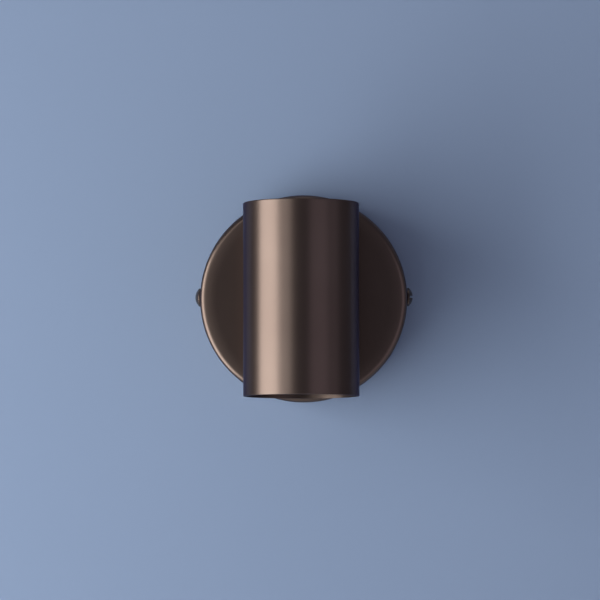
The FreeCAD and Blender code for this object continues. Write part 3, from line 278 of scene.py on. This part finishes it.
def nylon():
    material = new_material("nylon", (0.045, 0.043, 0.041), 0.0, 0.5)
    fine = noise(material, 1500.0, 3.0)
    tones(material, noise(material, 120.0), (0.038, 0.037, 0.036), (0.056, 0.053, 0.050))
    shine(material, fine, 0.42, 0.6)
    relief(material, fine, 0.15, 0.0001)
    return material


def white_plastic():
    """Moulded nylon 66, faintly cloudy."""
    material = new_material("white_plastic", (0.78, 0.77, 0.72), 0.0, 0.4, Subsurface_Weight=0.15)
    shader(material).inputs["Subsurface Radius"].default_value = (0.002, 0.0018, 0.0015)
    tones(material, noise(material, 90.0), (0.74, 0.73, 0.68), (0.81, 0.80, 0.75))
    fine = noise(material, 1200.0, 3.0)
    shine(material, fine, 0.34, 0.5)
    relief(material, fine, 0.1, 0.0001)
    return material


def fibre():
    """Pressed red fibre with short strands in it."""
    material = new_material("fibre", (0.30, 0.10, 0.06), 0.0, 0.75)
    strands = noise(material, 700.0, 6.0, (1.0, 1.0, 0.25))
    tones(material, strands, (0.22, 0.07, 0.04), (0.40, 0.15, 0.09))
    relief(material, strands, 0.3, 0.0001)
    return material


def core_insulation(name, colour):
    """Extruded insulation, with faint flow lines and a waxy sheen."""
    material = new_material(name, colour, 0.0, 0.4)
    streaks = noise(material, 500.0, 3.0, (1.0, 1.0, 0.2))
    dark = tuple(0.8 * part for part in colour)
    light = tuple(min(1.0, 1.2 * part) for part in colour)
    tones(material, streaks, dark, light)
    shine(material, streaks, 0.32, 0.5)
    return material


def rubber(name, colour, roughness):
    material = new_material(name, colour, 0.0, roughness)
    fine = noise(material, 1400.0, 4.0)
    dark = tuple(0.75 * part for part in colour)
    light = tuple(1.3 * part for part in colour)
    tones(material, noise(material, 200.0), dark, light)
    shine(material, fine, roughness - 0.08, roughness + 0.1)
    relief(material, fine, 0.2, 0.0001)
    return material


def steatite():
    """Fired ceramic: off-white, lightly speckled, with a slight glaze."""
    material = new_material("steatite", (0.74, 0.71, 0.63), 0.0, 0.55, Coat_Weight=0.15)
    tones(material, cells(material, 1800.0), (0.52, 0.48, 0.40), (0.76, 0.73, 0.66), 0.0, 0.12)
    fine = noise(material, 800.0, 5.0)
    shine(material, fine, 0.45, 0.65)
    relief(material, fine, 0.2, 0.0001)
    return material


def lamp_shell():
    """Matt heat-conducting plastic over aluminium."""
    material = new_material("lamp_shell", (0.72, 0.72, 0.70), 0.0, 0.4)
    tones(material, noise(material, 70.0), (0.69, 0.69, 0.67), (0.75, 0.75, 0.73))
    fine = noise(material, 1600.0, 2.0)
    shine(material, fine, 0.34, 0.5)
    relief(material, fine, 0.15, 0.0001)
    return material


def lens_plastic():
    """Clear moulded optic with faint flow marks."""
    clear = {"Transmission_Weight": 0.85, "IOR": 1.49}
    material = new_material("lens_plastic", (0.93, 0.95, 0.95), 0.0, 0.1, **clear)
    shine(material, noise(material, 300.0, 4.0), 0.06, 0.2)
    return material


def led_board():
    """White solder mask with a fine orange peel."""
    material = new_material("led_board", (0.80, 0.80, 0.76), 0.0, 0.35)
    tones(material, noise(material, 250.0), (0.76, 0.76, 0.71), (0.83, 0.83, 0.80))
    relief(material, noise(material, 1500.0, 2.0), 0.2, 0.0001)
    return material


def phosphor():
    """Yellow phosphor in a clear pour."""
    material = new_material("phosphor", (0.80, 0.62, 0.10), 0.0, 0.5, Coat_Weight=0.8)
    tones(material, noise(material, 2600.0, 4.0), (0.70, 0.50, 0.06), (0.86, 0.70, 0.16))
    return material


def nickel():
    material = new_material("nickel", (0.66, 0.63, 0.58), 1.0, 0.16)
    tones(material, noise(material, 220.0), (0.60, 0.57, 0.52), (0.70, 0.67, 0.62))
    shine(material, noise(material, 900.0, 4.0), 0.1, 0.28)
    return material


FINISHES = {
    "bronze": bronze(),
    "knuckle_bronze": knuckle_bronze(),
    "zinc_steel": zinc_steel(),
    "plain_brass": plain_brass(),
    "nylon": nylon(),
    "white_plastic": white_plastic(),
    "fibre": fibre(),
    "live_core": core_insulation("live_core", (0.16, 0.07, 0.035)),
    "neutral_core": core_insulation("neutral_core", (0.03, 0.12, 0.45)),
    "earth_core": core_insulation("earth_core", (0.22, 0.42, 0.05)),
    "cable_sheath": rubber("cable_sheath", (0.025, 0.025, 0.025), 0.5),
    "silicone": rubber("silicone", (0.30, 0.08, 0.05), 0.6),
    "steatite": steatite(),
    "lamp_shell": lamp_shell(),
    "lens_plastic": lens_plastic(),
    "led_board": led_board(),
    "phosphor": phosphor(),
    "nickel": nickel(),
}

SLOT_OF = {row["node"]: row["material_slot"] for row in frame["record"]["subparts"]}
for node, slot in SLOT_OF.items():
    mesh = frame["nodes"][node].data
    mesh.materials.clear()
    mesh.materials.append(FINISHES[slot])


# Pieces -----------------------------------------------------------------------------


def shift(x=0.0, y=0.0, z=0.0):
    """A move, in millimetres."""
    return Matrix.Translation(Vector((x, y, z)) * MM)


def add_piece(name, form, slot, body, place=Matrix(), sharp=32.0):
    """A finished piece: its mesh in the row frame, its finish, and the body it rides on."""
    bmesh.ops.recalc_face_normals(form, faces=form.faces)
    mesh = bpy.data.meshes.new(name)
    form.to_mesh(mesh)
    form.free()
    mesh.transform(place)
    mesh.materials.append(FINISHES[slot])
    mesh.shade_smooth()
    mesh.set_sharp_from_angle(angle=math.radians(sharp))
    piece = bpy.data.objects.new(name, mesh)
    bpy.context.scene.collection.objects.link(piece)
    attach(piece, body)
    return piece


def lathe(form, profile, steps, radius_at=None, place=Matrix()):
    """Turn a profile of (radius, height) pairs in millimetres about Z; ends at 0 close."""
    rows = []
    for radius, height in profile:
        if radius == 0:
            rows.append([form.verts.new(place @ Vector((0, 0, height * MM)))])
            continue
        row = []
        for step in range(steps):
            angle = 2 * math.pi * step / steps
            reach = radius_at(radius, height, angle) if radius_at else radius
            point = Vector((math.cos(angle) * reach, math.sin(angle) * reach, height)) * MM
            row.append(form.verts.new(place @ point))
        rows.append(row)
    for low, high in zip(rows, rows[1:]):
        for step in range(steps):
            ahead = (step + 1) % steps
            corners = []
            for row, number in ((low, step), (low, ahead), (high, ahead), (high, step)):
                corner = row[number % len(row)]
                if corner not in corners:
                    corners.append(corner)
            if len(corners) > 2:
                form.faces.new(corners)
    return rows


def thread(form, radius, pitch, low, high, place=Matrix(), bore=None):
    """A helical thread about Z between two heights, run out at its ends, solid or on a bore."""
    depth = 0.55 * pitch
    inner = bore or 0

    def reach(crest, height, angle):
        if crest == inner:
            return crest
        turns = height / pitch - angle / (2 * math.pi)
        wave = 0.5 - 0.5 * math.cos(2 * math.pi * turns)
        run_out = min(1.0, (height - low) / (0.6 * pitch), (high - height) / (0.6 * pitch))
        return crest - depth + depth * wave * max(0.0, run_out)

    per_turn = 8
    count = max(2, round((high - low) / pitch * per_turn))
    profile = [(inner, low)]
    profile += [(radius, low + (high - low) * row / count) for row in range(count + 1)]
    profile += [(inner, high)]
    if bore:
        profile.append((inner, low))
    lathe(form, profile, 40, reach, place)


def arc_points(centre, radius, start, end, count):
    """Points along an arc in a profile, from one angle in degrees to another."""
    points = []
    for step in range(count + 1):
        angle = math.radians(start + (end - start) * step / count)
        points.append((centre[0] + radius * math.cos(angle), centre[1] + radius * math.sin(angle)))
    return points


def without(form, cutters):
    """The form less each cutter, a (radius, low, high, place) cylinder about its own Z."""
    mesh = bpy.data.meshes.new("whole")
    form.to_mesh(mesh)
    form.free()
    whole = bpy.data.objects.new("whole", mesh)
    bpy.context.scene.collection.objects.link(whole)
    made = [whole]
    for radius, low, high, place in cutters:
        tool_form = bmesh.new()
        lathe(tool_form, [(0, low), (radius, low), (radius, high), (0, high)], 48, None, place)
        bmesh.ops.recalc_face_normals(tool_form, faces=tool_form.faces)
        tool_mesh = bpy.data.meshes.new("tool")
        tool_form.to_mesh(tool_mesh)
        tool_form.free()
        tool = bpy.data.objects.new("tool", tool_mesh)
        bpy.context.scene.collection.objects.link(tool)
        made.append(tool)
        cut = whole.modifiers.new("cut", "BOOLEAN")
        cut.object = tool
        cut.operation = "DIFFERENCE"
        cut.solver = "EXACT"
    bpy.context.view_layer.update()
    shaped = whole.evaluated_get(bpy.context.evaluated_depsgraph_get())
    result = bmesh.new()
    result.from_mesh(shaped.to_mesh())
    shaped.to_mesh_clear()
    for item in made:
        data = item.data
        bpy.data.objects.remove(item)
        bpy.data.meshes.remove(data)
    return result


ROSE_RADIUS = 55.0
ROSE_DEPTH = 25.0
ROSE_WALL = 1.2
ROSE_EDGE = 3.0
CROWN_WIDTH = 9.0
CROWN_DROP = 0.6
LIP_END = 0.35
NIPPLE_HOLE = 5.05
HOLE_EASE = 0.2
COVER_SCREW_DEPTH = 12.0
COVER_SCREW_HEIGHT = 0.8
COVER_SCREW_HOLE = 2.75
STUD_RADIUS = 1.0
STUD_TIP = 21.1
STUD_DROP = 11.0
STUD_EASE = 0.1


def crowned_edge(inset):
    """The cover's corner in profile, at a depth into its sheet: from its side to its front."""
    crown = (CROWN_WIDTH ** 2 + CROWN_DROP ** 2) / (2 * CROWN_DROP)
    start = ROSE_RADIUS - CROWN_WIDTH
    centre = (start, ROSE_DEPTH - crown)
    round_x = ROSE_RADIUS - ROSE_EDGE
    rise = math.sqrt((crown - ROSE_EDGE) ** 2 - (round_x - start) ** 2)
    meet = math.degrees(math.atan2(rise, round_x - start))
    corner = arc_points((round_x, centre[1] + rise), ROSE_EDGE - inset, 0, meet, 14)
    return corner + arc_points(centre, crown - inset, meet, 90, 8)[1:]


def backplate_cover():
    """The drawn cover, with a rolled lip at the wall."""
    form = bmesh.new()
    side = [(ROSE_RADIUS, LIP_END + 2.2 * step) for step in range(10)]
    lip = arc_points((ROSE_RADIUS - ROSE_WALL / 2, ROSE_WALL / 2), ROSE_WALL / 2, -180, 0, 6)
    front = [(r, ROSE_DEPTH) for r in (40, 30, 20, 10, NIPPLE_HOLE + HOLE_EASE)]
    front.append((NIPPLE_HOLE, ROSE_DEPTH - HOLE_EASE))
    back = [(r, ROSE_DEPTH - ROSE_WALL) for r in (NIPPLE_HOLE, 10, 20, 30, 40)]
    inside = list(reversed(crowned_edge(ROSE_WALL)))
    profile = lip + side[1:] + crowned_edge(0) + front + back + inside + [lip[0]]
    lathe(form, profile, 240, None, TO_VIEWER)
    bmesh.ops.remove_doubles(form, verts=form.verts, dist=1e-7)
    bmesh.ops.recalc_face_normals(form, faces=form.faces)
    level = shift(0, -COVER_SCREW_DEPTH, COVER_SCREW_HEIGHT)
    low, high = ROSE_RADIUS - 5, ROSE_RADIUS + 5
    form = without(form, [(COVER_SCREW_HOLE, low, high, level @ turn) for turn in (TO_RIGHT, TO_LEFT)])
    stud_root = ROSE_DEPTH - ROSE_WALL / 2
    stud = [
        (0, STUD_TIP),
        (STUD_RADIUS - STUD_EASE, STUD_TIP),
        (STUD_RADIUS, STUD_TIP + STUD_EASE),
        (STUD_RADIUS, stud_root),
        (0, stud_root),
    ]
    lathe(form, stud, 24, None, shift(0, 0, -STUD_DROP) @ TO_VIEWER)
    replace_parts(add_piece("cover_shell", form, "bronze", "base"), "backplate_cover")


def swivel_nipple():
    """The hollow nipple with its fine thread."""
    form = bmesh.new()
    thread(form, 5.0, 1.0, 15.5, 28.6, TO_VIEWER, bore=3.6)
    bmesh.ops.remove_doubles(form, verts=form.verts, dist=1e-7)
    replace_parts(add_piece("nipple_thread", form, SLOT_OF["swivel_nipple"], "arm"), "swivel_nipple")


def copied(node):
    """The CAD node's mesh, welded, with its flat faces whole."""
    form = bmesh.new()
    form.from_mesh(frame["nodes"][node].data)
    bmesh.ops.remove_doubles(form, verts=form.verts, dist=1e-6)
    flat = math.radians(0.5)
    bmesh.ops.dissolve_limit(form, angle_limit=flat, verts=form.verts, edges=form.edges)
    return form


def break_edges(form, width, angle=40.0):
    """Round the form's sharp edges a little; no corner strays from the form it had."""
    limit = math.radians(angle)
    before = BVHTree.FromBMesh(form)
    edges = [e for e in form.edges if len(e.link_faces) == 2 and e.calc_face_angle() > limit]
    bmesh.ops.bevel(
        form, geom=edges, offset=width * MM, segments=2, profile=0.6,
        affect="EDGES", clamp_overlap=False,
    )
    for corner in form.verts:
        nearest, _, _, distance = before.find_nearest(corner.co)
        if distance > 0.5 * width * MM:
            corner.co = nearest


def level_shading(piece):
    """Keep broad flat faces flat in shading where narrow rounded edges meet them."""
    weighting = piece.modifiers.new("level_shading", "WEIGHTED_NORMAL")
    weighting.keep_sharp = True
    weighting.weight = 90


def eased(node, width, body):
    """The same form with its sharp edges broken, in place of the CAD node."""
    form = copied(node)
    break_edges(form, width)
    piece = add_piece(node + "_eased", form, SLOT_OF[node], body, sharp=60.0)
    level_shading(piece)
    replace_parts(piece, node)


def screws(node, slot, body, places, thread_radius, pitch, length, ease=0.12):
    """Each head of the node with its edges broken, on a shank with a real thread."""
    form = copied(node)
    for place in places:
        inward = place.inverted()
        shank = []
        for face in form.faces:
            spots = [inward @ corner.co / MM for corner in face.verts]
            if all(math.hypot(s.x, s.y) < thread_radius * 1.01 and s.z < 0.01 for s in spots):
                if min(s.z for s in spots) > -length * 1.05:
                    shank.append(face)
        bmesh.ops.delete(form, geom=shank, context="FACES")
    break_edges(form, ease)
    for place in places:
        thread(form, thread_radius, pitch, -length, 0.0, place)
    piece = add_piece(node + "_cut", form, slot, body)
    level_shading(piece)
    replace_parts(piece, node)


def cover_screws():
    """The two M5 screws at the sides, in a darker and glossier bronze than the cover."""
    right = shift(ROSE_RADIUS, -COVER_SCREW_DEPTH, COVER_SCREW_HEIGHT) @ TO_RIGHT
    left = shift(-ROSE_RADIUS, -COVER_SCREW_DEPTH, COVER_SCREW_HEIGHT) @ TO_LEFT
    screws("cover_screws", "knuckle_bronze", "base", [right, left], 2.5, 0.8, 12.0)


def earth_screw():
    """The M4 earth screw in the wall bracket."""
    place = shift(18.15, -3.0, 0) @ TO_VIEWER
    screws("earth_screw", SLOT_OF["earth_screw"], "base", [place], 2.0, 0.7, 3.0)


def head_screws():
    """The two M3 screws that hold the tube and the holder's bracket to the tongue."""
    pair = [PIVOT @ shift(0, -14.95, row) @ TO_VIEWER for row in (7.6, -7.6)]
    screws("head_screws", SLOT_OF["head_screws"], "head", pair, 1.5, 0.5, 4.6, 0.08)


def lampholder_screws():
    """The two M3 screws that hold the lampholder under its bracket."""
    pair = [HEAD @ shift(0, row, 33.0) for row in (9.0, -9.0)]
    screws("lampholder_screws", SLOT_OF["lampholder_screws"], "head", pair, 1.5, 0.5, 8.0, 0.08)


LENS_FRONT = -37.3
LENS_BACK = -35.3
LENS_RADIUS = 23.35
LENS_RIM = 1.6
LENS_RIM_RISE = 0.25
LENSLET_PITCH = 2.6
LENSLET_DEPTH = 0.28
OPTIC_COUNT = 6
OPTIC_ROW = 12.2
OPTIC_RADIUS = 5.8
OPTIC_TAPER = 3.4
OPTIC_HEIGHT = 5.2
FIN_COUNT = 30
FIN_THICKNESS = 0.9


def honeycomb(x, y, pitch):
    """Height, from 0 to 1, of a field of small round lenslets on a hexagonal grid."""
    row_height = pitch * math.sqrt(3) / 2
    nearest = pitch
    base_row = math.floor(y / row_height)
    for row in (base_row, base_row + 1):
        offset = 0.5 * pitch * (row % 2)
        column = round((x - offset) / pitch)
        nearest = min(nearest, math.hypot(x - column * pitch - offset, y - row * row_height))
    return 1.0 - (nearest / (0.58 * pitch)) ** 2


def lamp_lens():
    """The lens: a honeycomb front, a raised rim, and six collimators behind it."""
    form = bmesh.new()
    rings = 64
    face_radius = LENS_RADIUS - LENS_RIM
    profile = [(0, LENS_FRONT)]
    profile += [(face_radius * ring / rings, LENS_FRONT) for ring in range(1, rings + 1)]
    profile += [
        (face_radius + 0.3, LENS_FRONT - LENS_RIM_RISE),
        (LENS_RADIUS - 0.2, LENS_FRONT - LENS_RIM_RISE),
        (LENS_RADIUS, LENS_FRONT),
        (LENS_RADIUS, LENS_BACK),
        (0, LENS_BACK),
    ]
    rows = lathe(form, profile, 180)
    for row in rows[:rings]:
        for corner in row:
            x, y = corner.co.x / MM, corner.co.y / MM
            corner.co.z += LENSLET_DEPTH * (1.0 - honeycomb(x, y, LENSLET_PITCH)) * MM
    cup = []
    for step in range(9):
        rise = step / 8
        cup.append((OPTIC_RADIUS - OPTIC_TAPER * rise ** 0.8, LENS_BACK + OPTIC_HEIGHT * rise))
    cup = [(0, LENS_BACK)] + cup + [(0, LENS_BACK + OPTIC_HEIGHT)]
    for number in range(OPTIC_COUNT):
        angle = 2 * math.pi * number / OPTIC_COUNT
        centre = shift(OPTIC_ROW * math.cos(angle), OPTIC_ROW * math.sin(angle))
        lathe(form, cup, 48, None, centre)
    piece = add_piece("lens_optic", form, "lens_plastic", "lamp", HEAD)
    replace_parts(piece, "lamp_lens")


def lamp_fins():
    """Cooling ribs down the housing's cone."""
    form = bmesh.new()
    outline = [(17.6, -4.6), (22.6, -18.2), (23.7, -18.2), (23.4, -16.0), (19.4, -4.6)]
    for number in range(FIN_COUNT):
        turn = Matrix.Rotation(2 * math.pi * number / FIN_COUNT, 4, "Z")
        sides = []
        for half in (-FIN_THICKNESS / 2, FIN_THICKNESS / 2):
            sides.append([form.verts.new(turn @ Vector((r, half, h)) * MM) for r, h in outline])
        form.faces.new(sides[0])
        form.faces.new(list(reversed(sides[1])))
        for step in range(len(outline)):
            ahead = (step + 1) % len(outline)
            form.faces.new((sides[0][step], sides[1][step], sides[1][ahead], sides[0][ahead]))
    add_piece("lamp_fins", form, "lamp_shell", "lamp", HEAD)


backplate_cover()
swivel_nipple()
cover_screws()
earth_screw()
head_screws()
lampholder_screws()
lamp_lens()
lamp_fins()
EDGE_WIDTHS = {
    "base": {"wall_bracket": 0.18, "bracket_nuts": 0.3, "terminal_block_housing": 0.35},
    "arm": {"swivel_nut": 0.35, "stop_washer": 0.12},
    "head": {"head_tongue": 0.3, "lampholder_bracket": 0.18, "top_cap": 0.15},
}
for body, widths in EDGE_WIDTHS.items():
    for node, width in widths.items():
        eased(node, width, body)


# Wall and floor ---------------------------------------------------------------------

WALL_COLOUR = (0.38, 0.51, 0.74)
WALL_HALF = 0.19
WALL_HOLE = 0.0535
FLOOR_COLOUR = (0.66, 0.67, 0.68)
FLOOR_SEEN_COLOUR = (0.80, 0.84, 0.90, 1)
FLOOR_SEEN_STRENGTH = 0.45
FLOOR_SIDE = 6.0
FLOOR_Z = -1.0


def one_sided(material):
    """Clear from behind, so that a viewer behind or below still sees the object."""
    facing = add_node(material, "ShaderNodeNewGeometry")
    clear = add_node(material, "ShaderNodeBsdfTransparent")
    mix = add_node(material, "ShaderNodeMixShader")
    output = material.node_tree.nodes["Material Output"]
    link(material, facing.outputs["Backfacing"], mix.inputs["Fac"])
    link(material, shader(material).outputs["BSDF"], mix.inputs[1])
    link(material, clear.outputs["BSDF"], mix.inputs[2])
    link(material, mix.outputs["Shader"], output.inputs["Surface"])


def add_wall():
    """A plain square of wall, open behind the plate so that the plate's back can be seen."""
    form = bmesh.new()
    steps = 96
    inner, outer = [], []
    for step in range(steps):
        angle = 2 * math.pi * step / steps
        direction = Vector((math.cos(angle), 0, math.sin(angle)))
        reach = WALL_HALF / max(abs(direction.x), abs(direction.z))
        inner.append(form.verts.new(direction * WALL_HOLE))
        outer.append(form.verts.new(direction * reach))
    for step in range(steps):
        ahead = (step + 1) % steps
        form.faces.new((inner[step], inner[ahead], outer[ahead], outer[step]))
    mesh = bpy.data.meshes.new("wall")
    bmesh.ops.recalc_face_normals(form, faces=form.faces)
    form.faces.ensure_lookup_table()
    if form.faces[0].normal.y > 0:
        bmesh.ops.reverse_faces(form, faces=form.faces)
    form.to_mesh(mesh)
    form.free()
    wall = bpy.data.objects.new("wall", mesh)
    material = new_material("backdrop", WALL_COLOUR, 0.0, 0.9)
    one_sided(material)
    mesh.materials.append(material)
    bpy.context.scene.collection.objects.link(wall)


def floor_material():
    """Pale and matt, and as pale where the lamps hardly reach it."""
    material = new_material("floor", FLOOR_COLOUR, 0.0, 0.85)
    rays = add_node(material, "ShaderNodeLightPath")
    level = add_node(material, "ShaderNodeMath", operation="MULTIPLY")
    level.inputs[1].default_value = FLOOR_SEEN_STRENGTH
    shader(material).inputs["Emission Color"].default_value = FLOOR_SEEN_COLOUR
    link(material, rays.outputs["Is Camera Ray"], level.inputs[0])
    link(material, level.outputs["Value"], shader(material).inputs["Emission Strength"])
    one_sided(material)
    return material


def add_floor():
    bpy.ops.mesh.primitive_plane_add(size=FLOOR_SIDE, location=(0, 0, FLOOR_Z))
    floor = bpy.context.object
    floor.name = "floor"
    floor.data.materials.append(floor_material())


add_camera()
add_lights()
add_world()
add_wall()
add_floor()

scene = bpy.context.scene
scene.view_settings.view_transform = "Standard"
